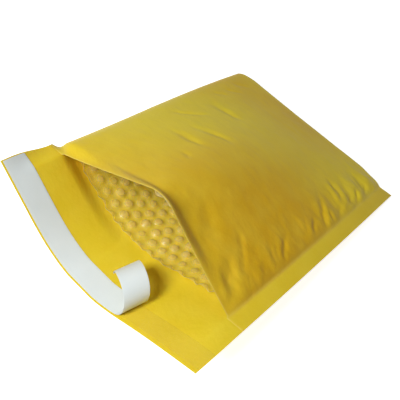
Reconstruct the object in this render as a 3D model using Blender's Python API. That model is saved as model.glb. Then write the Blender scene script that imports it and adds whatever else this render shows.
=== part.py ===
"""A padded envelope lying open: gold kraft paper folded from one blank and glued down both sides, a
bubble film lining folded inside it, a band of adhesive along the flap, and the release strip over the
adhesive, peeled back from one end into a curl.

X runs across the envelope, Y from the flap to the bottom fold, and the back panel rests on Z = 0.
Every shape is worked out on the flat blank, where s is the distance across it and t the distance from
the mouth, and is then laid on the bent panels. Metres."""

import functools
import math

import bmesh
import bpy
import numpy as np

# Paper blank: LENGTH runs from the flap's edge to the bottom fold
WIDTH = 0.240
LENGTH = 0.325
FLAP = 0.050
SEAM = 0.015
PAPER = 0.0003

# How the back panel lies: a trough that rises to both side seams and flattens towards the fold
TROUGH_CENTRE = -0.014
TROUGH_WIDTH = 0.128
LEFT_RISE_AT_MOUTH = math.radians(39)
LEFT_RISE_AT_FOLD = math.radians(13)
LEFT_FADE = 0.88
RIGHT_RISE_AT_MOUTH = math.radians(23)
RIGHT_RISE_AT_FOLD = math.radians(3)
RIGHT_FADE = 0.79
FLAP_DROOP = 0.24
DROOP_LENGTH = 0.080
TABLE_PRESS = 0.0012
LEAN = 0.0015

# How the seam bands lie: the left one hangs behind the mouth, the right one stays level
LEFT_BAND_AT_MOUTH = math.radians(2)
LEFT_BAND_HANG = math.radians(62)
RIGHT_BAND_LIFT = math.radians(6)
BAND_TURN = 0.014
SEAM_CREASE = 0.004

# How the front panel bulges: a ridge at the mouth that melts into a low crown
RIDGE = 0.004
RIDGE_HALF_WIDTH = 0.016
CROWN_HALF_WIDTH = 0.090
CROWN_BEND = math.radians(18.7)
CROWN_FADE = 1.2
PADDING = 0.0037
PADDING_EDGE = 0.005
FOLD_DEPTH = 0.007
PUCKERS = 7
PUCKER_HEIGHT = 0.0012
PUCKER_REACH = 0.030
PUCKER_CROWDING = 1.5
PUCKERS_FROM = 0.25
PUCKERS_FULL = 0.75

# Bubble film
FILM = 0.0004
LINING_GAP = 0.0004
LINING_SETBACK = 0.012
LINING_SIDE_GAP = 0.004
LINING_FOLD_GAP = 0.002
LINING_FOLD_DEPTH = 0.003
BUBBLE_PITCH = 0.012
BUBBLE_RADIUS = 0.005
BUBBLE_HEIGHT = 0.0032
BUBBLE_ROWS = 4

# Adhesive and release strip on the flap
PIECE_GAP = 0.0003
STRIP_WIDTH = 0.021
STRIP_INSET = 0.0015
END_GAP = 0.001
ADHESIVE = 0.0002
ADHESIVE_MARGIN = 0.002
STRIP = 0.0002
PEEL = 0.035
PEEL_SKEW = math.radians(12.6)
TAIL = 0.070
CURL_START_RADIUS = 0.008
CURL_END_RADIUS = 0.025
CURL_EASE = 0.008

# Mesh spacing
LATTICE = 0.001
FLAP_CELLS = 5
FOLD_CELLS = 4
MOUTH_PITCH = 0.004
BODY_PITCH = 0.0152
CURL_PITCH = 0.0033
BUBBLE_CUTS = 3
NORMAL_REACH = 0.0005
HALVINGS = 40
SHARP = math.radians(40)
WELD = 1e-6

BODY = LENGTH - FLAP
HALF = WIDTH / 2
SEAM_LINE = HALF - SEAM
ROW_PITCH = BUBBLE_PITCH * math.sqrt(3) / 2


def smooth(u):
    u = np.clip(u, 0, 1)
    return u * u * (3 - 2 * u)


def blend(a, b, u):
    return a + (b - a) * smooth(u)


def passed(s, centre, width):
    """0 before a band of this width, 1 past it"""
    return smooth((s - centre) / width + 0.5)


def openness(t):
    """1 at the mouth, 0 at the bottom fold"""
    return max((BODY - t) / BODY, 0)


def walk(slopes, step):
    """The x and z of a strip of paper that has this slope at each step along it"""
    run = np.cos(slopes)
    rise = np.sin(slopes)
    x = np.concatenate([[0], np.cumsum((run[1:] + run[:-1]) * step / 2)])
    z = np.concatenate([[0], np.cumsum((rise[1:] + rise[:-1]) * step / 2)])
    return x, z


def lattice(half):
    return np.linspace(-half, half, 2 * round(half / LATTICE) + 1)


def back_slopes(s, t):
    """The slope of the back panel, the flap and the bands at one station"""
    opened = openness(t)
    left = LEFT_RISE_AT_FOLD + (LEFT_RISE_AT_MOUTH - LEFT_RISE_AT_FOLD) * opened**LEFT_FADE
    right = RIGHT_RISE_AT_FOLD + (RIGHT_RISE_AT_MOUTH - RIGHT_RISE_AT_FOLD) * opened**RIGHT_FADE
    on_flap = smooth(-t / FLAP)
    droop = 1 - FLAP_DROOP * on_flap * smooth((s - (SEAM_LINE - DROOP_LENGTH)) / DROOP_LENGTH)
    climbing = passed(s, TROUGH_CENTRE, TROUGH_WIDTH)
    slopes = -left * (1 - climbing) + right * climbing * droop
    left_band = blend(LEFT_BAND_AT_MOUTH, LEFT_BAND_HANG, t / BAND_TURN)
    left_band = left_band + (-left - left_band) * on_flap
    right_band = RIGHT_BAND_LIFT * min(opened, 1) ** 2
    right_band = right_band + (right * (1 - FLAP_DROOP) - right_band) * on_flap
    slopes = slopes + (left_band - slopes) * passed(-s, SEAM_LINE, SEAM_CREASE)
    return slopes + (right_band - slopes) * passed(s, SEAM_LINE, SEAM_CREASE)


def bent_strip(t, bend):
    """A strip of paper as long as the front panel is wide, bent by this much at the ridge"""
    s = lattice(SEAM_LINE)
    half_width = CROWN_HALF_WIDTH + (RIDGE_HALF_WIDTH - CROWN_HALF_WIDTH) * min(openness(t), 1)
    return walk(bend * (1 - 2 * passed(s, RIDGE, 2 * half_width)), s[1] - s[0])


def seam_span(t, rise):
    """How far apart the seams are across the envelope where the front panel bulges over them"""
    x, z = bent_strip(t, CROWN_BEND * math.sin(math.pi / 2 * min(openness(t), 1)) ** CROWN_FADE)
    return math.sqrt(x[-1] ** 2 + z[-1] ** 2 - rise**2)


@functools.lru_cache(maxsize=None)
def back_section(t):
    """The inner face of the back panel at one station, as s, x and z"""
    s = lattice(HALF)
    x, z = walk(back_slopes(s, t), s[1] - s[0])
    left, right = np.interp([-SEAM_LINE, SEAM_LINE], s, x)
    low, high = np.interp([-SEAM_LINE, SEAM_LINE], s, z)
    spread = (seam_span(t, high - low) - (right - left)) * smooth(t / BAND_TURN)
    x = x - (left + right) / 2 - spread * np.clip((SEAM_LINE - s) / (2 * SEAM_LINE), 0, 1)
    x = x - LEAN * max(1 - openness(t), 0)
    inside = abs(s) <= SEAM_LINE
    return s, x, PAPER + np.maximum(z - z[inside].min() - TABLE_PRESS, 0)


@functools.lru_cache(maxsize=None)
def crown_section(t):
    """The front panel without its padding: a strip of paper held at both seams, bent to fit them"""
    across, x_back, z_back = back_section(t)
    x_ends = np.interp([-SEAM_LINE, SEAM_LINE], across, x_back)
    z_ends = np.interp([-SEAM_LINE, SEAM_LINE], across, z_back)
    chord = math.hypot(x_ends[1] - x_ends[0], z_ends[1] - z_ends[0])
    low, high = 0.0, math.pi / 2
    for _ in range(HALVINGS):
        bend = (low + high) / 2
        x, z = bent_strip(t, bend)
        if math.hypot(x[-1], z[-1]) > chord:
            low = bend
        else:
            high = bend
    tilt = math.atan2(z_ends[1] - z_ends[0], x_ends[1] - x_ends[0]) - math.atan2(z[-1], x[-1])
    x, z = x * math.cos(tilt) - z * math.sin(tilt), x * math.sin(tilt) + z * math.cos(tilt)
    return lattice(SEAM_LINE), x_ends[0] + x, z_ends[0] + z


def padding(s, t):
    """How far the bubble film lifts the front panel off its seams, with puckers along the right one"""
    from_seam = SEAM_LINE - abs(s)
    lift = PADDING * (1 - np.exp(-from_seam / PADDING_EDGE)) * smooth(t / BAND_TURN)
    down = max(t / BODY, 0)
    wave = math.sin(math.tau * PUCKERS * down**PUCKER_CROWDING)
    wave *= smooth((down - PUCKERS_FROM) / (PUCKERS_FULL - PUCKERS_FROM))
    near = np.exp(-(((from_seam - PUCKER_REACH / 2) / (PUCKER_REACH / 2)) ** 2)) * (s > 0)
    return lift + PUCKER_HEIGHT * wave * near


@functools.lru_cache(maxsize=None)
def front_section(t):
    """The inner face of the front panel at one station, as s, x, y and z"""
    s, x, z = crown_section(t)
    last = BODY - FOLD_DEPTH
    lift = np.maximum(z - crown_section(last)[2], 0)
    pulled_back = lift**2 / (2 * max(BODY - t, FOLD_DEPTH))
    return s, x, t + pulled_back, z + padding(s, t)


def on_back(s, t):
    across, x, z = back_section(round(t, 7))
    return np.array([np.interp(s, across, x), t, np.interp(s, across, z)])


def on_front(s, t):
    if abs(s) >= SEAM_LINE:
        return on_back(s, t)
    across, x, y, z = front_section(round(t, 7))
    return np.array([np.interp(s, across, x), np.interp(s, across, y), np.interp(s, across, z)])


def offset_from(panel, s, t, depth):
    """A point this deep into the pocket from a panel, or outside it where the depth is negative"""
    along_s = panel(s + NORMAL_REACH, t) - panel(s - NORMAL_REACH, t)
    along_t = panel(s, t + NORMAL_REACH) - panel(s, t - NORMAL_REACH)
    normal = np.cross(along_s, along_t)
    normal /= np.linalg.norm(normal)
    if panel is on_front:
        normal = -normal
    return panel(s, t) + normal * depth


def round_fold(s, t, turn, depth, reach):
    """A point on the fold that joins the two panels past station t; turn runs from -1 to 1"""
    back = offset_from(on_back, s, t, depth)
    front = offset_from(on_front, s, t, depth)
    angle = turn * math.pi / 2
    middle = (back + front) / 2 + (front - back) / 2 * math.sin(angle)
    return middle + np.array([0, (reach - depth) * math.cos(angle), 0])


def spaced(start, end, pitch):
    return list(np.linspace(start, end, max(1, math.ceil((end - start) / pitch)) + 1))


def film_half_width():
    return SEAM_LINE - LINING_SIDE_GAP


def bubble_columns():
    """Lines halfway between the bubbles, and the film's two edges"""
    cells = math.ceil(film_half_width() / BUBBLE_PITCH - 0.5)
    lines = [(i - 0.5) * BUBBLE_PITCH for i in range(1 - cells, cells + 1)]
    return between(lines, -film_half_width(), film_half_width())


def panel_columns():
    return [-SEAM_LINE] + bubble_columns() + [SEAM_LINE]


def blank_columns():
    """The pocket's columns, then one where the strip ends and one at the paper's edge"""
    return [-HALF, -HALF + END_GAP] + panel_columns() + [HALF - END_GAP, HALF]


def between(places, low, high):
    """These places from low to high, with both ends"""
    return [low] + [place for place in places if low + WELD < place < high - WELD] + [high]


def strip_middle():
    return -FLAP + STRIP_INSET + STRIP_WIDTH / 2


def flap_stations():
    """Stations down the flap, with one at each edge of the strip and of the adhesive"""
    edges = [-STRIP_WIDTH / 2, -STRIP_WIDTH / 2 + ADHESIVE_MARGIN]
    edges += [-edge for edge in reversed(edges)]
    edges = [strip_middle() + edge for edge in edges]
    return [-FLAP] + edges + spaced(edges[-1], 0, FLAP / FLAP_CELLS)[1:]


def lining_end():
    return BODY - FOLD_DEPTH - LINING_FOLD_GAP


def bubble_rows_end():
    return LINING_SETBACK + BUBBLE_ROWS * ROW_PITCH


def film_stations():
    """Stations along one panel's film: a row of bubbles each, then evenly to its fold"""
    rows = spaced(LINING_SETBACK, bubble_rows_end(), ROW_PITCH)
    return rows + spaced(rows[-1], lining_end(), BODY_PITCH)[1:]


def body_stations():
    return spaced(0, LINING_SETBACK, MOUTH_PITCH)[:-1] + film_stations() + [BODY - FOLD_DEPTH]


def lay_skin(bm, rows):
    """A skin of quads over rows of points"""
    verts = [[bm.verts.new(point) for point in row] for row in rows]
    for near, far in zip(verts, verts[1:]):
        for i in range(len(near) - 1):
            bm.faces.new((near[i], near[i + 1], far[i + 1], far[i]))


def finish(bm, name, material):
    """Welds the skins into one closed body and makes its object"""
    bmesh.ops.remove_doubles(bm, verts=bm.verts, dist=WELD)
    bmesh.ops.dissolve_degenerate(bm, edges=bm.edges, dist=WELD)
    bmesh.ops.recalc_face_normals(bm, faces=bm.faces)
    mesh = bpy.data.meshes.new(name)
    bm.to_mesh(mesh)
    bm.free()
    mesh.shade_smooth()
    mesh.set_sharp_from_angle(angle=SHARP)
    mesh.materials.append(material)
    piece = bpy.data.objects.new(name, mesh)
    bpy.context.collection.objects.link(piece)
    return piece


def folded_rows(columns, depth):
    """Rows of points up the back panel, round the bottom fold and down the front panel"""
    stations = body_stations()
    turns = np.linspace(-1, 1, FOLD_CELLS + 1)[1:-1]
    rows = [[offset_from(on_back, s, t, depth) for s in columns] for t in stations]
    rows += [[round_fold(s, stations[-1], turn, depth, FOLD_DEPTH) for s in columns] for turn in turns]
    return rows + [[offset_from(on_front, s, t, depth) for s in columns] for t in reversed(stations)]


def kraft_paper(material):
    """The blank: flap, back panel, bottom fold and front panel, its two layers one where they are glued"""
    bm = bmesh.new()
    wide, pocket = blank_columns(), panel_columns()
    flap = flap_stations()
    flap_outside = [[offset_from(on_back, s, t, -PAPER) for s in wide] for t in flap]
    flap_inside = [[on_back(s, t) for s in wide] for t in flap]
    outside = folded_rows(wide, -PAPER)
    inside = folded_rows(pocket, 0)
    lay_skin(bm, flap_outside + outside[1:])
    lay_skin(bm, flap_inside)
    lay_skin(bm, inside)
    lay_skin(bm, [flap_outside[0], flap_inside[0]])
    lay_skin(bm, [outside[-1], [on_front(s, 0) for s in wide]])
    stations = len(body_stations())
    for side in (0, -1):
        lay_skin(bm, [[row[side] for row in flap_outside], [row[side] for row in flap_inside]])
        layers = [row[side] for row in outside]
        middle = [flap_inside[-1][side]]
        middle += [(a + b) / 2 for a, b in zip(layers[1:stations], layers[-2 : -stations - 1 : -1])]
        lay_skin(bm, [layers[:stations], middle])
        lay_skin(bm, [middle, layers[: -stations - 1 : -1]])
        tip = layers[stations - 1 : -stations + 1]
        fold_tip(bm, tip, middle[-1])
    return finish(bm, "kraft_paper", material)


def fold_tip(bm, layers, middle):
    """The glued layers' edge where the fold crosses it"""
    centre = bm.verts.new(middle)
    ring = [bm.verts.new(point) for point in layers]
    for a, b in zip(ring, ring[1:]):
        bm.faces.new((a, b, centre))


def lining_place(s, u, depth):
    """A point of the lining, by its distance u along the folded film from the mouth on the back panel"""
    end = lining_end()
    arc = 2 * LINING_FOLD_DEPTH
    if u <= end:
        return offset_from(on_back, s, u, depth)
    if u >= end + arc:
        return offset_from(on_front, s, 2 * end + arc - u, depth)
    room = np.linalg.norm(on_front(s, end) - on_back(s, end)) / 2
    reach = min(LINING_FOLD_DEPTH + LINING_GAP, room)
    return round_fold(s, end, (u - end) / arc * 2 - 1, depth, reach)


def bubble(s, u):
    """The height of the bubbles at a point: staggered rows of domes, low where the pocket is thin"""
    row = math.floor((u - LINING_SETBACK) / ROW_PITCH)
    if row < 0 or row >= BUBBLE_ROWS:
        return 0
    shift = BUBBLE_PITCH / 2 * (row % 2)
    nearest = round((s - shift) / BUBBLE_PITCH) * BUBBLE_PITCH + shift
    if abs(nearest) + BUBBLE_RADIUS > film_half_width():
        return 0
    off = math.hypot(s - nearest, u - LINING_SETBACK - (row + 0.5) * ROW_PITCH)
    dome = math.sqrt(max(1 - (off / BUBBLE_RADIUS) ** 2, 0))
    room = np.linalg.norm(on_front(s, u) - on_back(s, u)) / 2 - LINING_GAP - FILM - PIECE_GAP
    return min(BUBBLE_HEIGHT, max(room, 0)) * dome


def bubble_film(material):
    """The lining: one sheet of film folded with the paper, its bubbles raised where the mouth shows them"""
    bm = bmesh.new()
    columns, stations = bubble_columns(), film_stations()
    end, arc = lining_end(), 2 * LINING_FOLD_DEPTH
    folded = stations + spaced(end, end + arc, arc / FOLD_CELLS)[1:-1]
    folded += [2 * end + arc - t for t in reversed(stations)]
    inner = [[(s, u, 1) for s in columns] for u in folded]
    outer = [[(s, u, 0) for s in columns] for u in folded]
    lay_skin(bm, inner)
    lay_skin(bm, outer)
    for side in (0, -1):
        lay_skin(bm, [inner[side], outer[side]])
        lay_skin(bm, [[row[side] for row in inner], [row[side] for row in outer]])
    bmesh.ops.remove_doubles(bm, verts=bm.verts, dist=WELD)
    bubbles_end = bubble_rows_end() + WELD
    bubbled = [f for f in bm.faces if all(v.co.z > 0.5 and v.co.y < bubbles_end for v in f.verts)]
    edges = {edge for face in bubbled for edge in face.edges}
    bmesh.ops.subdivide_edges(bm, edges=list(edges), cuts=BUBBLE_CUTS, use_grid_fill=True)
    bmesh.ops.triangulate(bm, faces=[f for f in bm.faces if len(f.verts) > 4])
    for vert in bm.verts:
        s, u, layer = vert.co
        raised = bubble(s, u) if layer > 0.5 else 0
        vert.co = lining_place(s, u, LINING_GAP + FILM * layer + raised)
    return finish(bm, "bubble_film", material)


def slab(bm, place, rows, columns, bottom, thickness):
    """A thin closed slab between two heights over a surface"""
    low = [[place(a, b, bottom) for a in columns] for b in rows]
    high = [[place(a, b, bottom + thickness) for a in columns] for b in rows]
    lay_skin(bm, low)
    lay_skin(bm, high)
    for side in (0, -1):
        lay_skin(bm, [low[side], high[side]])
        lay_skin(bm, [[row[side] for row in low], [row[side] for row in high]])


def adhesive_band(material):
    """Hot melt adhesive along the flap, under the strip and bare where it is peeled"""
    bm = bmesh.new()
    reach = HALF - END_GAP
    half_width = STRIP_WIDTH / 2 - ADHESIVE_MARGIN
    columns = between(blank_columns(), -reach, reach)
    rows = between(flap_stations(), strip_middle() - half_width, strip_middle() + half_width)
    slab(bm, functools.partial(offset_from, on_back), rows, columns, PIECE_GAP, ADHESIVE)
    return finish(bm, "adhesive_band", material)


@functools.lru_cache(maxsize=None)
def curl():
    """The tail's rolled line: distance along it, run and rise"""
    along = np.arange(0, TAIL + STRIP_WIDTH, LATTICE / 2)
    radius = CURL_START_RADIUS + (CURL_END_RADIUS - CURL_START_RADIUS) * along / TAIL
    curving = smooth(along / CURL_EASE) / radius
    lift = np.concatenate([[0], np.cumsum((curving[1:] + curving[:-1]) * LATTICE / 4)])
    a, b = on_back(PEEL, strip_middle()), on_back(PEEL + LATTICE, strip_middle())
    x, z = walk(math.atan2(b[2] - a[2], b[0] - a[0]) + lift, LATTICE / 2)
    return along, x, z


def on_strip(s, t):
    """A point of the release strip: on the flap up to the peel line, and on the rolled tail past it"""
    across, along = s - PEEL, t - strip_middle()
    past = across * math.cos(PEEL_SKEW) - along * math.sin(PEEL_SKEW)
    if past <= 0:
        return on_back(s, t)
    on_line = across * math.sin(PEEL_SKEW) + along * math.cos(PEEL_SKEW)
    root = on_back(PEEL + on_line * math.sin(PEEL_SKEW), strip_middle() + on_line * math.cos(PEEL_SKEW))
    lengths, runs, rises = curl()
    run, rise = np.interp(past, lengths, runs), np.interp(past, lengths, rises)
    return root + np.array([run * math.cos(PEEL_SKEW), -run * math.sin(PEEL_SKEW), rise])


def release_strip(material):
    """White silicone paper, peeled from the right end and rolled back on itself"""
    bm = bmesh.new()
    columns = between(blank_columns(), -HALF + END_GAP, PEEL - STRIP_WIDTH / 4)[:-1]
    columns += spaced(PEEL - STRIP_WIDTH / 4, PEEL + TAIL, CURL_PITCH)
    rows = between(flap_stations(), strip_middle() - STRIP_WIDTH / 2, strip_middle() + STRIP_WIDTH / 2)
    bottom = PIECE_GAP + ADHESIVE + PIECE_GAP
    slab(bm, functools.partial(offset_from, on_strip), rows, columns, bottom, STRIP)
    return finish(bm, "release_strip", material)


def make_material(name, colour, roughness, metallic=0.0, transmission=0.0):
    material = bpy.data.materials.new(name)
    material.use_nodes = True
    shader = material.node_tree.nodes["Principled BSDF"]
    shader.inputs["Base Color"].default_value = (*colour, 1)
    shader.inputs["Roughness"].default_value = roughness
    shader.inputs["Metallic"].default_value = metallic
    shader.inputs["Transmission Weight"].default_value = transmission
    return material


def centre(pieces):
    """Moves the pieces together so that the origin is under the middle of the envelope"""
    corners = np.array([v.co for piece in pieces for v in piece.data.vertices])
    low, high = corners.min(axis=0), corners.max(axis=0)
    shift = (-(low[0] + high[0]) / 2, -(low[1] + high[1]) / 2, -low[2])
    for piece in pieces:
        for vert in piece.data.vertices:
            vert.co = [a + b for a, b in zip(vert.co, shift)]


def main():
    for old in list(bpy.data.objects):
        bpy.data.objects.remove(old)
    pieces = [
        kraft_paper(make_material("gold_kraft", (0.62, 0.45, 0.03), 0.45, metallic=0.2)),
        bubble_film(make_material("clear_film", (0.95, 0.80, 0.45), 0.15, transmission=0.8)),
        adhesive_band(make_material("hot_melt", (0.75, 0.62, 0.15), 0.2)),
        release_strip(make_material("silicone_paper", (0.85, 0.87, 0.90), 0.4)),
    ]
    centre(pieces)


main()
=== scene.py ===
"""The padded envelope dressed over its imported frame: wrinkled gold kraft paper, clear bubble film, the
bare adhesive, and the curled release strip, on a white table in soft light from the front.

As in the part, every shape is worked out on the flat blank, where s is the distance across it and t the
distance from the mouth, and is then laid on the bent panels. Metres."""

import functools
import math

import bmesh
import bpy
import numpy as np
from mathutils import Matrix, Vector, noise


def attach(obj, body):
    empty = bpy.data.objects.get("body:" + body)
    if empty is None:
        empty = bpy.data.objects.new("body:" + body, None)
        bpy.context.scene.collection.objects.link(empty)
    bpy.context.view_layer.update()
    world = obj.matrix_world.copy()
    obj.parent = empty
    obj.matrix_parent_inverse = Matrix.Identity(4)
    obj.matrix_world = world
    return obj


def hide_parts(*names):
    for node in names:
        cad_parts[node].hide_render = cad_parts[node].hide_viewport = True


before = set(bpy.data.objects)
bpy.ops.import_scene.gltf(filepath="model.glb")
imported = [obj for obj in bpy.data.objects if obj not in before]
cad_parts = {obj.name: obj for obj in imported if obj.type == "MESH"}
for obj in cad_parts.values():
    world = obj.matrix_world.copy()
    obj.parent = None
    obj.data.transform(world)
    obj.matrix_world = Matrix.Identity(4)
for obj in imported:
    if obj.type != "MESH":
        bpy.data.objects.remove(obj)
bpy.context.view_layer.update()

# Paper blank
WIDTH = 0.240
LENGTH = 0.325
FLAP = 0.050
SEAM = 0.015
PAPER = 0.00025

# How the back panel lies: a trough that rises to both side seams and flattens towards the fold
TROUGH_CENTRE = -0.014
TROUGH_WIDTH = 0.128
LEFT_RISE_AT_MOUTH = math.radians(39)
LEFT_RISE_AT_FOLD = math.radians(13)
LEFT_FADE = 0.88
RIGHT_RISE_AT_MOUTH = math.radians(23)
RIGHT_RISE_AT_FOLD = math.radians(3)
RIGHT_FADE = 0.79
FLAP_DROOP = 0.24
DROOP_LENGTH = 0.080
TABLE_PRESS = 0.0012
LEAN = 0.0015

# How the seam bands lie: the left one hangs behind the mouth, the right one stays level
LEFT_BAND_AT_MOUTH = math.radians(2)
LEFT_BAND_HANG = math.radians(62)
RIGHT_BAND_LIFT = math.radians(6)
BAND_TURN = 0.014
SEAM_CREASE = 0.004

# How the front panel bulges: a ridge at the mouth that melts into a low crown
RIDGE = 0.004
RIDGE_HALF_WIDTH = 0.016
CROWN_HALF_WIDTH = 0.090
CROWN_BEND = math.radians(18.7)
CROWN_FADE = 1.2
PADDING = 0.0037
PADDING_EDGE = 0.005
FOLD_DEPTH = 0.007
PUCKERS = 7
PUCKER_HEIGHT = 0.0012
PUCKER_REACH = 0.030
PUCKER_CROWDING = 1.5
PUCKERS_FROM = 0.25
PUCKERS_FULL = 0.75

# How the paper is worked: its slow waves and small creases, and the small creases crowded along the right seam
WAVE_HEIGHT = 0.0005
CREASE_HEIGHT = 0.00016
LOOSE_ON_BACK = 0.35
HELD_AT_SEAM = 0.25
CRUMPLE_LINE = 0.35
CRUMPLE = 0.00022
CRUMPLE_CROWDED = 0.0011
FINE_CRUMPLE = 0.00008
FINE_CRUMPLE_CROWDED = 0.0005
CROWDED_FROM = 0.055
CROWDED_OVER = 0.045
DENT_STRAY = 0.0024
DENT_UNEVEN = 0.5
FRONT_EASE = 0.01
HELD_OVER = 0.012
SEAM_EASE = 0.002

# How thin and green the gold lacquer is, from 0 to 1, as its mean and its change, and a painted shade in the
# mouth's left corner
THIN_OUTSIDE = (0.5, 0.95)
THIN_INSIDE = (0.85, 0.4)
THIN_ON_BANDS = 0.7
THIN_WAVE = 0.14
# Painted shade: inside the mouth's left corner the lacquer is drawn a darker orange, for the shade and gold
# bounce light that fall there
PAINTED_SHADE_CORNER = (-0.095, 0.013)
PAINTED_SHADE_REACH = (0.03, 0.014)
PAINTED_SHADE_STRENGTH = 0.7

# How far the paper is rubbed pale, from 0 to 1, and over what width
RUBBED_FOLD = (0.4, 0.006)
RUBBED_SEAM = (0.5, 0.0015)
RUBBED_CUT_WIDTH = 0.0008

# Dents pressed into the front panel, each from (s, t) to (s, t), with its depth and half width
DENTS = [
    (-0.084, 0.121, -0.060, 0.151, 0.0010, 0.0022),
    (-0.076, 0.173, -0.036, 0.180, 0.0012, 0.0042),
    (-0.053, 0.117, -0.012, 0.131, 0.0012, 0.0032),
    (-0.060, 0.094, -0.020, 0.098, 0.0011, 0.0036),
    (-0.028, 0.072, -0.017, 0.068, 0.0006, 0.0022),
    (-0.090, 0.238, -0.076, 0.252, 0.0008, 0.0024),
    (-0.086, 0.216, -0.072, 0.230, 0.0008, 0.0022),
    (-0.087, 0.192, -0.075, 0.211, 0.0006, 0.0022),
    (0.069, 0.204, 0.098, 0.194, 0.0018, 0.0032),
    (0.074, 0.171, 0.101, 0.148, 0.0018, 0.0030),
    (0.092, 0.167, 0.103, 0.163, 0.0011, 0.0022),
    (0.089, 0.143, 0.099, 0.130, 0.0011, 0.0024),
    (0.103, 0.190, 0.094, 0.212, 0.0014, 0.0024),
    (0.104, 0.210, 0.092, 0.229, 0.0014, 0.0022),
    (0.104, 0.230, 0.095, 0.245, 0.0013, 0.0020),
    (0.104, 0.246, 0.097, 0.256, 0.0010, 0.0018),
    (0.104, 0.168, 0.098, 0.186, 0.0010, 0.0020),
    (0.083, 0.098, 0.101, 0.077, 0.0015, 0.0030),
    (0.091, 0.054, 0.102, 0.064, 0.0010, 0.0032),
    (0.072, 0.028, 0.103, 0.008, 0.0018, 0.0055),
    (0.058, 0.054, 0.090, 0.034, 0.0008, 0.0034),
    (0.028, 0.040, 0.058, 0.020, 0.0010, 0.0060),
]

# Bubble film
FILM = 0.00012
LINING_GAP = 0.0004
LINING_SETBACK = 0.012
LINING_SIDE_GAP = 0.004
LINING_FOLD_GAP = 0.002
LINING_FOLD_DEPTH = 0.003
BUBBLE_PITCH = 0.012
BUBBLE_RADIUS = 0.0051
BUBBLE_HEIGHT = 0.0036
BUBBLE_STRAY = 0.0012
BUBBLE_FULL = 0.8
BUBBLE_UNEVEN = 0.75
FLAT_AT_EDGE = 0.6
FULL_FROM_EDGE = 0.018
DOME_POWER = 2.2
DOME_WRINKLE = 0.15
RIM_HAZE = 1.1
RIM_HAZE_WIDTH = 0.85
CUT_THROUGH = 0.4
FILM_SLACK = 0.0004
SLACK_ROOM = 0.002
EDGE_LIFT = 0.0012
EDGE_LIFT_REACH = 0.004
HAZY_EDGE = 0.0012
NO_BUBBLE = 2

# Adhesive and release strip on the flap
PIECE_GAP = 0.0001
STRIP_WIDTH = 0.021
STRIP_INSET = 0.0015
END_GAP = 0.001
ADHESIVE = 0.00015
ADHESIVE_MARGIN = 0.002
ADHESIVE_WAVE = 0.00004
STRIP = 0.00012
STRIP_WAVE = 0.00006
PEEL_EASE = 0.02
PEEL = 0.035
PEEL_SKEW = math.radians(12.6)
TAIL = 0.070
CURL_START_RADIUS = 0.008
CURL_END_RADIUS = 0.025
CURL_EASE = 0.008

# The middle of the mouth, where s and t are 0, in the frame
MOUTH = Vector((-0.00102, -0.11265, 0))

# Camera, as the photo was taken: turned by a fifth of a right angle, close to the envelope
CAMERA_PLACE = Vector((0.1461, -0.1958, 0.3584)) + MOUTH
CAMERA_AZIMUTH = math.radians(27.99)
CAMERA_ELEVATION = math.radians(47.31)
CAMERA_ROLL = math.radians(18.97)
CAMERA_LENS = 45.9

# White studio
TABLE_HALF = 3
TABLE_DROP = 0.0002
TABLE_GLOW = 0.82
LAMP_TOWARD = (-0.14, -0.94, 0.80)
LAMP_DISTANCE = 0.80
LAMP_SIZE = 0.28
LAMP_POWER = 6.1
ROOM_LIGHT = 0.18

# How finely the shapes are worked out and meshed
LATTICE = 0.001
NORMAL_REACH = 0.0005
HALVINGS = 40
PAPER_COLUMN = 0.0017
BAND_COLUMN = 0.0019
FLAP_ROW = 0.002
BACK_ROW = 0.004
FOLD_ROW = 0.001
FRONT_ROW = 0.0015
COLUMNS_PER_BUBBLE = 7
ROWS_PER_BUBBLE = 6
FILM_FOLD_ROWS = 4
STUCK_COLUMN = 0.003
TAIL_COLUMN = 0.001
ADHESIVE_ROW = 0.0016
STRIP_ROW = 0.0021
FLAT_FACE_WEIGHT = 50

# Steps of the blank's UV in a metre
UV_PER_METRE = 10

BODY = LENGTH - FLAP
HALF = WIDTH / 2
SEAM_LINE = HALF - SEAM
ROW_PITCH = BUBBLE_PITCH * math.sqrt(3) / 2
FILM_HALF = SEAM_LINE - LINING_SIDE_GAP
FOLD_START = BODY - FOLD_DEPTH
FILM_END = FOLD_START - LINING_FOLD_GAP
PAPER_ARC = math.pi / 2 * FOLD_DEPTH
FILM_ARC = math.pi / 2 * LINING_FOLD_DEPTH
STRIP_MIDDLE = -FLAP + STRIP_INSET + STRIP_WIDTH / 2


# Shape of the bent paper

def smooth(u):
    """0 up to 0, 1 from 1 on, and an eased rise between"""
    u = np.clip(u, 0, 1)
    return u * u * (3 - 2 * u)


def blend_by(a, b, share):
    return a + (b - a) * share


def blend(a, b, u):
    return blend_by(a, b, smooth(u))


def hump(distance, reach):
    """1 at a place, fading to nothing past this reach"""
    return np.exp(-((distance / reach) ** 2))


def passed(s, centre, width):
    """0 before a band of this width, 1 past it"""
    return smooth((s - centre) / width + 0.5)


def openness(t):
    """1 at the mouth, 0 at the bottom fold"""
    return max((BODY - t) / BODY, 0)


def walk(slopes, step):
    """The x and z of a strip of paper that has this slope at each step along it"""
    run = np.cos(slopes)
    rise = np.sin(slopes)
    x = np.concatenate([[0], np.cumsum((run[1:] + run[:-1]) * step / 2)])
    z = np.concatenate([[0], np.cumsum((rise[1:] + rise[:-1]) * step / 2)])
    return x, z


def lattice(half):
    """Fine stations across a strip of this half width, with one at its middle"""
    return np.linspace(-half, half, 2 * round(half / LATTICE) + 1)


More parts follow.
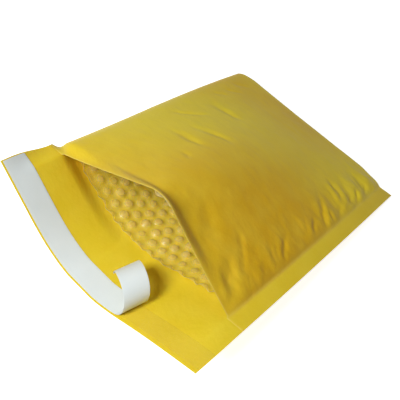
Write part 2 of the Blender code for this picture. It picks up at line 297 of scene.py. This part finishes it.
def back_slopes(s, t):
    """The slope of the back panel, the flap and the bands at one station"""
    opened = openness(t)
    left = LEFT_RISE_AT_FOLD + (LEFT_RISE_AT_MOUTH - LEFT_RISE_AT_FOLD) * opened**LEFT_FADE
    right = RIGHT_RISE_AT_FOLD + (RIGHT_RISE_AT_MOUTH - RIGHT_RISE_AT_FOLD) * opened**RIGHT_FADE
    on_flap = smooth(-t / FLAP)
    droop = 1 - FLAP_DROOP * on_flap * smooth((s - (SEAM_LINE - DROOP_LENGTH)) / DROOP_LENGTH)
    climbing = passed(s, TROUGH_CENTRE, TROUGH_WIDTH)
    slopes = -left * (1 - climbing) + right * climbing * droop
    left_band = blend(LEFT_BAND_AT_MOUTH, LEFT_BAND_HANG, t / BAND_TURN)
    left_band = left_band + (-left - left_band) * on_flap
    right_band = RIGHT_BAND_LIFT * min(opened, 1) ** 2
    right_band = right_band + (right * (1 - FLAP_DROOP) - right_band) * on_flap
    slopes = slopes + (left_band - slopes) * passed(-s, SEAM_LINE, SEAM_CREASE)
    return slopes + (right_band - slopes) * passed(s, SEAM_LINE, SEAM_CREASE)


def bent_strip(t, bend):
    """A strip of paper as long as the front panel is wide, bent by this much at the ridge"""
    s = lattice(SEAM_LINE)
    half_width = CROWN_HALF_WIDTH + (RIDGE_HALF_WIDTH - CROWN_HALF_WIDTH) * min(openness(t), 1)
    return walk(bend * (1 - 2 * passed(s, RIDGE, 2 * half_width)), s[1] - s[0])


def seam_span(t, rise):
    """How far apart the seams are across the envelope where the front panel bulges over them"""
    x, z = bent_strip(t, CROWN_BEND * math.sin(math.pi / 2 * min(openness(t), 1)) ** CROWN_FADE)
    return math.sqrt(x[-1] ** 2 + z[-1] ** 2 - rise**2)


@functools.lru_cache(maxsize=None)
def back_section(t):
    """The inner face of the back panel at one station, as s, x and z"""
    s = lattice(HALF)
    x, z = walk(back_slopes(s, t), s[1] - s[0])
    left, right = np.interp([-SEAM_LINE, SEAM_LINE], s, x)
    low, high = np.interp([-SEAM_LINE, SEAM_LINE], s, z)
    spread = (seam_span(t, high - low) - (right - left)) * smooth(t / BAND_TURN)
    x = x - (left + right) / 2 - spread * np.clip((SEAM_LINE - s) / (2 * SEAM_LINE), 0, 1)
    x = x - LEAN * max(1 - openness(t), 0)
    inside = abs(s) <= SEAM_LINE
    return s, x, PAPER + np.maximum(z - z[inside].min() - TABLE_PRESS, 0)


@functools.lru_cache(maxsize=None)
def crown_section(t):
    """The front panel without its padding: a strip of paper held at both seams, bent to fit them"""
    across, x_back, z_back = back_section(t)
    x_ends = np.interp([-SEAM_LINE, SEAM_LINE], across, x_back)
    z_ends = np.interp([-SEAM_LINE, SEAM_LINE], across, z_back)
    chord = math.hypot(x_ends[1] - x_ends[0], z_ends[1] - z_ends[0])
    low, high = 0.0, math.pi / 2
    for _ in range(HALVINGS):
        bend = (low + high) / 2
        x, z = bent_strip(t, bend)
        if math.hypot(x[-1], z[-1]) > chord:
            low = bend
        else:
            high = bend
    tilt = math.atan2(z_ends[1] - z_ends[0], x_ends[1] - x_ends[0]) - math.atan2(z[-1], x[-1])
    x, z = x * math.cos(tilt) - z * math.sin(tilt), x * math.sin(tilt) + z * math.cos(tilt)
    return lattice(SEAM_LINE), x_ends[0] + x, z_ends[0] + z


def padding(s, t):
    """How far the bubble film lifts the front panel off its seams, with puckers along the right one"""
    from_seam = SEAM_LINE - abs(s)
    lift = PADDING * (1 - np.exp(-from_seam / PADDING_EDGE)) * smooth(t / BAND_TURN)
    down = max(t / BODY, 0)
    wave = math.sin(math.tau * PUCKERS * down**PUCKER_CROWDING)
    wave *= smooth((down - PUCKERS_FROM) / (PUCKERS_FULL - PUCKERS_FROM))
    near = hump(from_seam - PUCKER_REACH / 2, PUCKER_REACH / 2) * (s > 0)
    return lift + PUCKER_HEIGHT * wave * near


@functools.lru_cache(maxsize=None)
def front_section(t):
    """The inner face of the front panel at one station, as s, x, y and z"""
    s, x, z = crown_section(t)
    lift = np.maximum(z - crown_section(FOLD_START)[2], 0)
    pulled_back = lift**2 / (2 * max(BODY - t, FOLD_DEPTH))
    return s, x, t + pulled_back, z + padding(s, t)


def on_back(s, t):
    across, x, z = back_section(round(t, 7))
    return np.stack([np.interp(s, across, x), np.full(len(s), t), np.interp(s, across, z)], axis=1)


def on_front(s, t):
    across, x, y, z = front_section(round(t, 7))
    inner = np.stack([np.interp(s, across, values) for values in (x, y, z)], axis=1)
    return np.where(abs(s)[:, None] >= SEAM_LINE, on_back(s, t), inner)


def inward(panel, s, t):
    """The unit normals of a panel, into the pocket"""
    along_s = panel(s + NORMAL_REACH, t) - panel(s - NORMAL_REACH, t)
    along_t = panel(s, t + NORMAL_REACH) - panel(s, t - NORMAL_REACH)
    normals = np.cross(along_s, along_t)
    normals /= np.linalg.norm(normals, axis=1)[:, None]
    return -normals if panel is on_front else normals


def laid(panel, s, t, depth):
    """Points this deep into the pocket from a panel"""
    return panel(s, t) + inward(panel, s, t) * np.reshape(depth, (-1, 1))


def laid_folded(s, u, depth, fold_start, arc, reach):
    """Points of a folded sheet, by the distance u along it from the mouth on the back panel"""
    if u <= fold_start:
        return laid(on_back, s, u, depth)
    if u >= fold_start + arc:
        return laid(on_front, s, 2 * fold_start + arc - u, depth)
    back = laid(on_back, s, fold_start, depth)
    front = laid(on_front, s, fold_start, depth)
    angle = ((u - fold_start) / arc * 2 - 1) * math.pi / 2
    points = (back + front) / 2 + (front - back) / 2 * math.sin(angle)
    room = np.minimum(reach, np.linalg.norm(front - back, axis=1))
    points[:, 1] += room * math.cos(angle)
    return points


# Relief that the paper takes from handling and from what is under it

def wander(s, u, across, along, seed):
    """Smooth noise from -1 to 1, with this wavelength across the blank and along it. Each use has its own seed,
    so no two patterns match"""
    return np.array([noise.noise(Vector((x / across, u / along, seed))) for x in s])


def dents(s, t):
    """How deep the dents and puckers of the front panel are at a station: none is straight or even"""
    total = np.zeros(len(s))
    bent = DENT_STRAY * wander(s, t, 0.015, 0.012, 2.2)
    uneven = 1 + DENT_UNEVEN * wander(s, t, 0.008, 0.007, 6.6)
    for s0, t0, s1, t1, depth, half_width in DENTS:
        length = math.hypot(s1 - s0, t1 - t0)
        along = ((s - s0) * (s1 - s0) + (t - t0) * (t1 - t0)) / length
        off = ((s - s0) * (t1 - t0) - (t - t0) * (s1 - s0)) / length + bent
        taper = smooth(along / length * 2.2 + 0.35) * smooth((1 - along / length) * 2.2 + 0.35)
        total += depth * taper * hump(off, half_width)
    return total * uneven


def crumple(s, t):
    """Crisp small creases of the front panel, faint all over and crowded along the right seam"""
    lines = CRUMPLE_LINE - abs(wander(s + 0.4 * t, t, 0.017, 0.010, 4.9))
    finer = CRUMPLE_LINE - abs(wander(s - 0.5 * t, t, 0.009, 0.006, 7.3))
    crowded = smooth((s - CROWDED_FROM) / CROWDED_OVER) * smooth((t + 0.01) / 0.05)
    coarse = lines * (CRUMPLE + CRUMPLE_CROWDED * crowded)
    return coarse + finer * (FINE_CRUMPLE + FINE_CRUMPLE_CROWDED * crowded)


def handling(s, u):
    """Slow waves and small creases all over the paper"""
    slow = WAVE_HEIGHT * wander(s, u, 0.045, 0.028, 1.7)
    small = CREASE_HEIGHT * wander(s, u, 0.011, 0.007, 5.1)
    return slow + small


def paper_relief(s, u):
    """How far the paper stands off its smooth shape, into the pocket, by the distance u along the blank"""
    front_start = FOLD_START + PAPER_ARC
    t = 2 * FOLD_START + PAPER_ARC - u
    on_the_front = smooth((u - front_start) / FRONT_EASE)
    held = smooth((SEAM_LINE + SEAM_EASE - abs(s)) / HELD_OVER)
    relief = handling(s, u) * blend_by(HELD_AT_SEAM, 1, held) * blend_by(LOOSE_ON_BACK, 1, on_the_front)
    return relief + (dents(s, t) + crumple(s, t)) * on_the_front * held


# Meshes

def spaced(start, end, pitch):
    """Even stations from start to end, no further apart than the pitch"""
    return list(np.linspace(start, end, max(1, math.ceil((end - start) / pitch)) + 1))


def joined(*stretches):
    """Stretches of stations end to end, each shared one once"""
    return stretches[0] + [place for stretch in stretches[1:] for place in stretch[1:]]


def sheet_of(name, columns, stations, place, material, thickness, marks=None):
    """A sheet over the blank: a grid whose vertices are laid where place puts them, then given its thickness.
    Each mark is a number at every vertex that its material reads, such as how rubbed the paper is"""
    bm = bmesh.new()
    bmesh.ops.create_grid(bm, x_segments=len(columns) - 1, y_segments=len(stations) - 1, size=1)
    flat = bm.loops.layers.uv.new("blank")
    layers = {mark: bm.verts.layers.float.new(mark) for mark in marks or {}}
    rows = {}
    for vert in bm.verts:
        column = round((vert.co.x + 1) / 2 * (len(columns) - 1))
        row = round((vert.co.y + 1) / 2 * (len(stations) - 1))
        rows.setdefault(row, []).append((vert, column))
    where = {}
    for row, entries in rows.items():
        s = np.array([columns[column] for _, column in entries])
        points = place(s, stations[row])
        for (vert, column), point in zip(entries, points):
            vert.co = Vector(point) + MOUTH
            where[vert] = (columns[column] * UV_PER_METRE, stations[row] * UV_PER_METRE)
        for mark, layer in layers.items():
            for (vert, _), amount in zip(entries, marks[mark](s, stations[row])):
                vert[layer] = amount
    for face in bm.faces:
        for loop in face.loops:
            loop[flat].uv = where[loop.vert]
    mesh = bpy.data.meshes.new(name)
    bm.to_mesh(mesh)
    bm.free()
    mesh.shade_smooth()
    mesh.materials.append(material)
    piece = bpy.data.objects.new(name, mesh)
    bpy.context.collection.objects.link(piece)
    wall = piece.modifiers.new("wall", "SOLIDIFY")
    wall.thickness = thickness
    wall.offset = -1
    flat_faces = piece.modifiers.new("flat faces", "WEIGHTED_NORMAL")
    flat_faces.mode = "FACE_AREA"
    flat_faces.weight = FLAT_FACE_WEIGHT
    return piece


def kraft_paper(material):
    columns = joined(
        spaced(-HALF, -SEAM_LINE, BAND_COLUMN),
        spaced(-SEAM_LINE, SEAM_LINE, PAPER_COLUMN),
        spaced(SEAM_LINE, HALF, BAND_COLUMN),
    )
    front = FOLD_START + PAPER_ARC
    stations = joined(
        spaced(-FLAP, 0, FLAP_ROW),
        spaced(0, FOLD_START, BACK_ROW),
        spaced(FOLD_START, front, FOLD_ROW),
        spaced(front, front + FOLD_START, FRONT_ROW),
    )

    def place(s, u):
        return laid_folded(s, u, paper_relief(s, u), FOLD_START, PAPER_ARC, FOLD_DEPTH)

    def rubbed(s, u):
        """How much the fold and the seam lines are rubbed, and the mouth's cut edge"""
        fold = RUBBED_FOLD[0] * hump(u - FOLD_START - PAPER_ARC / 2, RUBBED_FOLD[1])
        seam = RUBBED_SEAM[0] * hump(abs(s) - SEAM_LINE, RUBBED_SEAM[1]) * (u > 0)
        cut = hump(front + FOLD_START - u, RUBBED_CUT_WIDTH)
        return np.maximum(max(fold, cut), seam)

    def lacquer_and_painted_shade(s, u):
        """The lacquer is not even: 0 where it is a darker orange gold, 1 where it is thinner and greener, as
        inside.
        Inside the mouth's left corner it is pulled down towards 0 as painted shade, and on the seam bands it is
        set to one thinner, even value"""
        mean, change = THIN_OUTSIDE if u > front else THIN_INSIDE
        # Painted shade: the lacquer value is pulled towards the darker orange inside the mouth's left corner
        corner_shade = hump(s - PAINTED_SHADE_CORNER[0], PAINTED_SHADE_REACH[0]) * hump(u - PAINTED_SHADE_CORNER[1], PAINTED_SHADE_REACH[1])
        wandering = mean + change * wander(s, u, THIN_WAVE, THIN_WAVE, 37.87)
        panel = np.clip(wandering - PAINTED_SHADE_STRENGTH * corner_shade, 0, 1)
        on_band = smooth((abs(s) - SEAM_LINE) / SEAM_EASE) * (u > 0)
        return blend_by(panel, THIN_ON_BANDS, on_band)

    return sheet_of("kraft_blank", columns, stations, place, material, PAPER, {"rubbed": rubbed, "lacquer_and_painted_shade": lacquer_and_painted_shade})


def bubble_rows(s, t, panel):
    """How far out in its bubble each place at a station is, 1 at the rim, and how full that bubble is.
    The rows are staggered, and the film's edge is cut through the first one"""
    row = math.floor((t - LINING_SETBACK) / ROW_PITCH + CUT_THROUGH)
    shift = BUBBLE_PITCH / 2 * (row % 2)
    nearest = np.round((s - shift) / BUBBLE_PITCH) * BUBBLE_PITCH + shift
    centre = LINING_SETBACK + (row + 0.5 - CUT_THROUGH) * ROW_PITCH
    stray = BUBBLE_STRAY * wander(nearest, centre + panel, 0.005, 0.004, 4.4)
    full = BUBBLE_FULL + BUBBLE_UNEVEN * wander(nearest, centre + panel, 0.0043, 0.0057, 9.2)
    full = full * blend(FLAT_AT_EDGE, 1, (t - LINING_SETBACK) / FULL_FROM_EDGE)
    off = np.hypot(s - nearest - stray, t - centre - stray / 2) / (BUBBLE_RADIUS - abs(stray) / 2)
    return np.where(abs(nearest) + BUBBLE_RADIUS < FILM_HALF, off, NO_BUBBLE), full


def bubble_film(material):
    columns = spaced(-FILM_HALF, FILM_HALF, BUBBLE_PITCH / COLUMNS_PER_BUBBLE)
    pitch = ROW_PITCH / ROWS_PER_BUBBLE
    stations = joined(
        spaced(LINING_SETBACK, FILM_END, pitch),
        spaced(FILM_END, FILM_END + FILM_ARC, FILM_ARC / FILM_FOLD_ROWS),
        spaced(FILM_END + FILM_ARC, 2 * FILM_END + FILM_ARC - LINING_SETBACK, pitch),
    )

    def place(s, u):
        t = min(u, 2 * FILM_END + FILM_ARC - u)
        gap = np.linalg.norm(on_front(s, t) - on_back(s, t), axis=1)
        room = np.maximum(gap / 2 - LINING_GAP - FILM - PIECE_GAP, 0)
        off, full = bubble_rows(s, t, u > FILM_END)
        dome = np.sqrt(np.clip(1 - off**DOME_POWER, 0, 1))
        wrinkled = BUBBLE_HEIGHT * full * (1 + DOME_WRINKLE * wander(s, u, 0.004, 0.003, 8.3))
        height = np.minimum(wrinkled, room) * dome
        slack = FILM_SLACK * (1 + wander(s, u, 0.010, 0.008, 3.3)) * smooth(room / SLACK_ROOM)
        from_edge = math.exp(-(t - LINING_SETBACK) / EDGE_LIFT_REACH)
        at_edge = EDGE_LIFT * from_edge * (1 + wander(s, u, 0.004, 0.02, 6.1))
        paper_u = u if u <= FILM_END else u + 2 * (FOLD_START - FILM_END) + PAPER_ARC - FILM_ARC
        depth = LINING_GAP + paper_relief(s, paper_u) + height + slack + at_edge
        return laid_folded(s, u, depth, FILM_END, FILM_ARC, LINING_FOLD_DEPTH)

    def hazy(s, u):
        """Where the film is hazy: blown up into the bubbles, and rough along its cut edge"""
        t = min(u, 2 * FILM_END + FILM_ARC - u)
        off, full = bubble_rows(s, t, u > FILM_END)
        blown = smooth((RIM_HAZE - off) / RIM_HAZE_WIDTH) * np.clip(full, 0, 1)
        return np.maximum(blown, hump(t - LINING_SETBACK, HAZY_EDGE))

    return sheet_of("bubble_lining", columns, stations, place, material, FILM, {"hazy": hazy})


def adhesive_band(material):
    half_width = STRIP_WIDTH / 2 - ADHESIVE_MARGIN
    columns = spaced(-HALF + END_GAP, HALF - END_GAP, STUCK_COLUMN)
    stations = spaced(STRIP_MIDDLE - half_width, STRIP_MIDDLE + half_width, ADHESIVE_ROW)

    def place(s, t):
        depth = PIECE_GAP + paper_relief(s, t) + ADHESIVE_WAVE * wander(s, t, 0.006, 0.004, 2.9)
        return laid(on_back, s, t, depth)

    return sheet_of("hot_melt_band", columns, stations, place, material, ADHESIVE)


@functools.lru_cache(maxsize=None)
def curl():
    """The tail's rolled line: distance along it, run and rise"""
    along = np.arange(0, TAIL + STRIP_WIDTH, LATTICE / 2)
    radius = CURL_START_RADIUS + (CURL_END_RADIUS - CURL_START_RADIUS) * along / TAIL
    curving = smooth(along / CURL_EASE) / radius
    lift = np.concatenate([[0], np.cumsum((curving[1:] + curving[:-1]) * LATTICE / 4)])
    a, b = on_back(np.array([PEEL, PEEL + LATTICE]), STRIP_MIDDLE)
    x, z = walk(math.atan2(b[2] - a[2], b[0] - a[0]) + lift, LATTICE / 2)
    return along, x, z


def on_strip(s, t):
    """The release strip: on the flap up to the peel line, and on the rolled tail past it"""
    across, along = s - PEEL, t - STRIP_MIDDLE
    past = across * math.cos(PEEL_SKEW) - along * math.sin(PEEL_SKEW)
    on_line = across * math.sin(PEEL_SKEW) + along * math.cos(PEEL_SKEW)
    points = on_back(s, t)
    lengths, runs, rises = curl()
    for i in np.flatnonzero(past > 0):
        root_s = PEEL + on_line[i] * math.sin(PEEL_SKEW)
        root = on_back(np.array([root_s]), STRIP_MIDDLE + on_line[i] * math.cos(PEEL_SKEW))[0]
        run, rise = np.interp(past[i], lengths, runs), np.interp(past[i], lengths, rises)
        points[i] = root + (run * math.cos(PEEL_SKEW), -run * math.sin(PEEL_SKEW), rise)
    return points


def release_strip(material):
    half_width = STRIP_WIDTH / 2
    columns = joined(
        spaced(-HALF + END_GAP, PEEL - half_width, STUCK_COLUMN),
        spaced(PEEL - half_width, PEEL + TAIL, TAIL_COLUMN),
    )
    stations = spaced(STRIP_MIDDLE - half_width, STRIP_MIDDLE + half_width, STRIP_ROW)

    def place(s, t):
        stuck = smooth((PEEL - s) / PEEL_EASE)
        waviness = paper_relief(s, t) + STRIP_WAVE * wander(s, t, 0.02, 0.03, 7.7)
        return laid(on_strip, s, t, 2 * PIECE_GAP + ADHESIVE + stuck * waviness)

    return sheet_of("silicone_strip", columns, stations, place, material, STRIP)


# Materials

def linear(code):
    """An sRGB hex colour as linear values"""
    channels = [int(code[i : i + 2], 16) / 255 for i in (1, 3, 5)]
    values = [c / 12.92 if c <= 0.04045 else ((c + 0.055) / 1.055) ** 2.4 for c in channels]
    return (*values, 1.0)


def add(tree, kind, settings=None, links=None):
    """A node with its settings and what its inputs are linked from"""
    node = tree.nodes.new(kind)
    for name, value in (settings or {}).items():
        if hasattr(node, str(name)):
            setattr(node, name, value)
        else:
            node.inputs[name].default_value = value
    for name, source in (links or {}).items():
        tree.links.new(source, node.inputs[name])
    return node


def scale_for(size):
    """The texture scale of a pattern this many mm across on the blank"""
    return 1000 / UV_PER_METRE / size


def put(shader, values):
    """Settings that are the same all over a material"""
    for name, value in values.items():
        shader.inputs[name].default_value = value


def new_material(name):
    material = bpy.data.materials.new(name)
    material.use_nodes = True
    return material, material.node_tree, material.node_tree.nodes["Principled BSDF"]


def blank_uv(tree):
    return add(tree, "ShaderNodeUVMap", {"uv_map": "blank"}).outputs["UV"]


def carried(tree, name):
    """A mark that the piece carries at its vertices"""
    return add(tree, "ShaderNodeAttribute", {"attribute_name": name}).outputs["Fac"]


def clouds(tree, vector, scale, detail):
    """Noise with this many patches to each step of the vector"""
    field = add(tree, "ShaderNodeTexNoise", {"Scale": scale, "Detail": detail}, {"Vector": vector})
    return field.outputs["Fac"]


def kraft_material():
    """Gold kraft: paper calendered and lacquered, so it has a soft satin sheen. Its gold wanders between orange
    and a thinner green, with a painted shade of darker orange inside the mouth's left corner; it has faint 25
    mm mottling and a 3.6 mm cockle, and it is rubbed paler where it is folded, cut and glued. Its fibres are
    too fine to show, so they are drawn 1.6 mm long and 0.4 mm wide"""
    material, tree, shader = new_material("gold_lacquered_kraft")
    blank = blank_uv(tree)
    fibre_size = {"Scale": (scale_for(1.6), scale_for(0.4), 1)}
    stretched = add(tree, "ShaderNodeMapping", fibre_size, {"Vector": blank}).outputs[0]
    fibre = clouds(tree, stretched, 1, 3)
    mottle = clouds(tree, blank, scale_for(25), 2)
    cockle = clouds(tree, blank, scale_for(3.6), 3)

    # The lacquer mark carries both the lacquer's random wander and the painted shade in the mouth's left corner
    golds = {"Color1": linear("#D7A60A"), "Color2": linear("#E0C82E")}
    colour = add(tree, "ShaderNodeMixRGB", golds, {"Fac": carried(tree, "lacquer_and_painted_shade")}).outputs[0]
    spotting = {"From Min": 0.4, "From Max": 0.7, "To Max": 0.2}
    spots = add(tree, "ShaderNodeMapRange", spotting, {"Value": mottle})
    flecking = {"From Min": 0.35, "From Max": 0.7, "To Max": 0.25}
    fleck = add(tree, "ShaderNodeMapRange", flecking, {"Value": fibre})
    paler = (("#F0D850", spots.outputs[0]), ("#EACB40", fleck.outputs[0]), ("#E4C858", carried(tree, "rubbed")))
    for code, amount in paler:
        over = {"Fac": amount, "Color1": colour}
        colour = add(tree, "ShaderNodeMixRGB", {"Color2": linear(code)}, over).outputs[0]
    tree.links.new(colour, shader.inputs["Base Color"])
    gloss = add(tree, "ShaderNodeMapRange", {"To Min": 0.36, "To Max": 0.5}, {"Value": mottle})
    tree.links.new(gloss.outputs[0], shader.inputs["Roughness"])
    low = add(tree, "ShaderNodeBump", {"Strength": 0.35, "Distance": 0.0006}, {"Height": cockle})
    grain_links = {"Height": fibre, "Normal": low.outputs[0]}
    grain = add(tree, "ShaderNodeBump", {"Strength": 0.2, "Distance": 0.0001}, grain_links)
    tree.links.new(grain.outputs[0], shader.inputs["Normal"])
    put(shader, {
        "Metallic": 0.08,
        "Specular IOR Level": 0.12,
        "Subsurface Weight": 0.25,
        "Subsurface Radius": (1.0, 0.65, 0.12),
        "Subsurface Scale": 0.0005,
    })
    return material


def film_material():
    """Polythene film, heat sealed into bubbles: glossy, with bright glints on its 2 mm ripples, clear between
    the bubbles, and hazy where it is blown up into them and along its cut edge. The haze also lets light
    through from behind, so a bubble has no dark side"""
    material, tree, shader = new_material("clear_bubble_film")
    ripple = clouds(tree, blank_uv(tree), scale_for(2), 2)
    bump = add(tree, "ShaderNodeBump", {"Strength": 1.0, "Distance": 0.001}, {"Height": ripple})
    tree.links.new(bump.outputs[0], shader.inputs["Normal"])
    hazy = carried(tree, "hazy")
    body = add(tree, "ShaderNodeMapRange", {"To Min": 0.06, "To Max": 0.28}, {"Value": hazy})
    tree.links.new(body.outputs[0], shader.inputs["Alpha"])
    put(shader, {
        "Base Color": linear("#FFECAE"),
        "Subsurface Weight": 1.0,
        "Subsurface Radius": (1.0, 0.8, 0.5),
        "Subsurface Scale": 0.003,
        "Roughness": 0.25,
        "IOR": 1.51,
        "Specular IOR Level": 1.0,
        "Specular Tint": linear("#FFDCAA"),
        "Coat Weight": 1.0,
        "Coat Roughness": 0.1,
    })
    let_through = add(tree, "ShaderNodeBsdfTranslucent", {"Color": linear("#FFF6DC")})
    share = add(tree, "ShaderNodeMapRange", {"To Max": 0.38}, {"Value": hazy})
    links = {0: share.outputs[0], 1: shader.outputs[0], 2: let_through.outputs[0]}
    lit_from_behind = add(tree, "ShaderNodeMixShader", None, links)
    tree.links.new(lit_from_behind.outputs[0], tree.nodes["Material Output"].inputs["Surface"])
    return material


def adhesive_material():
    """Hot melt adhesive rolled on as a band: clear, tacky and wet-looking, with roller lines 1.1 mm apart"""
    material, tree, shader = new_material("clear_hot_melt")
    line_size = {"Scale": (scale_for(25), scale_for(1.1), 1)}
    stretched = add(tree, "ShaderNodeMapping", line_size, {"Vector": blank_uv(tree)}).outputs[0]
    lines = clouds(tree, stretched, 1, 2)
    bump = add(tree, "ShaderNodeBump", {"Strength": 0.25, "Distance": 0.0002}, {"Height": lines})
    tree.links.new(bump.outputs[0], shader.inputs["Normal"])
    put(shader, {"Base Color": linear("#E6CC60"), "Roughness": 0.3, "Alpha": 0.12})
    return material


def strip_material():
    """Silicone-coated release paper: cool white, smooth, with a soft sheen and clouding 16 mm across. Its grain
    is too fine to show, so it is drawn 0.8 mm across"""
    material, tree, shader = new_material("white_release_paper")
    blank = blank_uv(tree)
    whites = {"Color1": linear("#D5DADE"), "Color2": linear("#DDE1E5")}
    tone = add(tree, "ShaderNodeMixRGB", whites, {"Fac": clouds(tree, blank, scale_for(16), 3)})
    tree.links.new(tone.outputs[0], shader.inputs["Base Color"])
    grain = clouds(tree, blank, scale_for(0.8), 2)
    bump = add(tree, "ShaderNodeBump", {"Strength": 0.12, "Distance": 0.0001}, {"Height": grain})
    tree.links.new(bump.outputs[0], shader.inputs["Normal"])
    put(shader, {"Roughness": 0.42})
    return material


def seen_directly(tree):
    """1 for rays from the camera, and for those that gloss and clear film send on"""
    path = add(tree, "ShaderNodeLightPath")
    seen = path.outputs["Is Camera Ray"]
    for ray in ("Is Glossy Ray", "Is Transmission Ray"):
        either = {0: seen, 1: path.outputs[ray]}
        seen = add(tree, "ShaderNodeMath", {"operation": "MAXIMUM"}, either).outputs[0]
    return seen


def table_material():
    """A white table that looks white to the camera and still takes the envelope's shadow"""
    material, tree, shader = new_material("white_table")
    put(shader, {
        "Base Color": linear("#FAFAFA"),
        "Roughness": 0.9,
        "Specular IOR Level": 0.1,
        "Emission Color": (1, 1, 1, 1),
    })
    lit = add(tree, "ShaderNodeMath", {"operation": "MULTIPLY", 1: TABLE_GLOW}, {0: seen_directly(tree)})
    tree.links.new(lit.outputs[0], shader.inputs["Emission Strength"])
    return material


# Stage

def table():
    bm = bmesh.new()
    bmesh.ops.create_grid(bm, x_segments=1, y_segments=1, size=TABLE_HALF)
    bmesh.ops.translate(bm, verts=bm.verts, vec=(0, 0, -TABLE_DROP))
    mesh = bpy.data.meshes.new("table")
    bm.to_mesh(mesh)
    bm.free()
    mesh.materials.append(table_material())
    top = bpy.data.objects.new("table", mesh)
    bpy.context.collection.objects.link(top)


def softbox():
    """A square light in front of the envelope, facing it"""
    light = bpy.data.lights.new("front", "AREA")
    light.shape = "SQUARE"
    light.size = LAMP_SIZE
    light.energy = LAMP_POWER
    light.color = linear("#F8FFFC")[:3]
    lamp = bpy.data.objects.new("front", light)
    toward = Vector(LAMP_TOWARD).normalized()
    lamp.location = toward * LAMP_DISTANCE
    lamp.rotation_mode = "QUATERNION"
    lamp.rotation_quaternion = toward.to_track_quat("Z", "Y")
    lamp.visible_camera = False
    bpy.context.collection.objects.link(lamp)


def sky():
    """Weak, even light all round, and plain white where the camera sees past the table"""
    world = bpy.data.worlds.new("studio")
    world.use_nodes = True
    tree = world.node_tree
    tree.nodes.clear()
    room = add(tree, "ShaderNodeBackground", {"Color": linear("#FFF4E4"), "Strength": ROOM_LIGHT})
    white = add(tree, "ShaderNodeBackground", {"Color": (1, 1, 1, 1), "Strength": 1.0})
    links = {0: seen_directly(tree), 1: room.outputs[0], 2: white.outputs[0]}
    mixed = add(tree, "ShaderNodeMixShader", None, links)
    add(tree, "ShaderNodeOutputWorld", None, {"Surface": mixed.outputs[0]})
    bpy.context.scene.world = world


def camera():
    back = Vector((
        math.sin(CAMERA_AZIMUTH) * math.cos(CAMERA_ELEVATION),
        -math.cos(CAMERA_AZIMUTH) * math.cos(CAMERA_ELEVATION),
        math.sin(CAMERA_ELEVATION),
    ))
    level = Vector((math.cos(CAMERA_AZIMUTH), math.sin(CAMERA_AZIMUTH), 0))
    axes = Matrix((level, back.cross(level), back)).transposed()
    data = bpy.data.cameras.new("camera")
    data.lens = CAMERA_LENS
    data.clip_start = 0.01
    eye = bpy.data.objects.new("camera", data)
    eye.matrix_world = Matrix.Translation(CAMERA_PLACE) @ axes.to_4x4() @ Matrix.Rotation(CAMERA_ROLL, 4, "Z")
    bpy.context.collection.objects.link(eye)
    bpy.context.scene.camera = eye


def dress(piece, node):
    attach(piece, "root")
    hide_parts(node)


def main():
    paper = kraft_paper(kraft_material())
    lining = bubble_film(film_material())
    adhesive = adhesive_band(adhesive_material())
    strip = release_strip(strip_material())
    dress(paper, "kraft_paper")
    dress(lining, "bubble_film")
    dress(adhesive, "adhesive_band")
    dress(strip, "release_strip")
    table()
    softbox()
    sky()
    camera()
    bpy.context.scene.view_settings.view_transform = "Standard"


main()
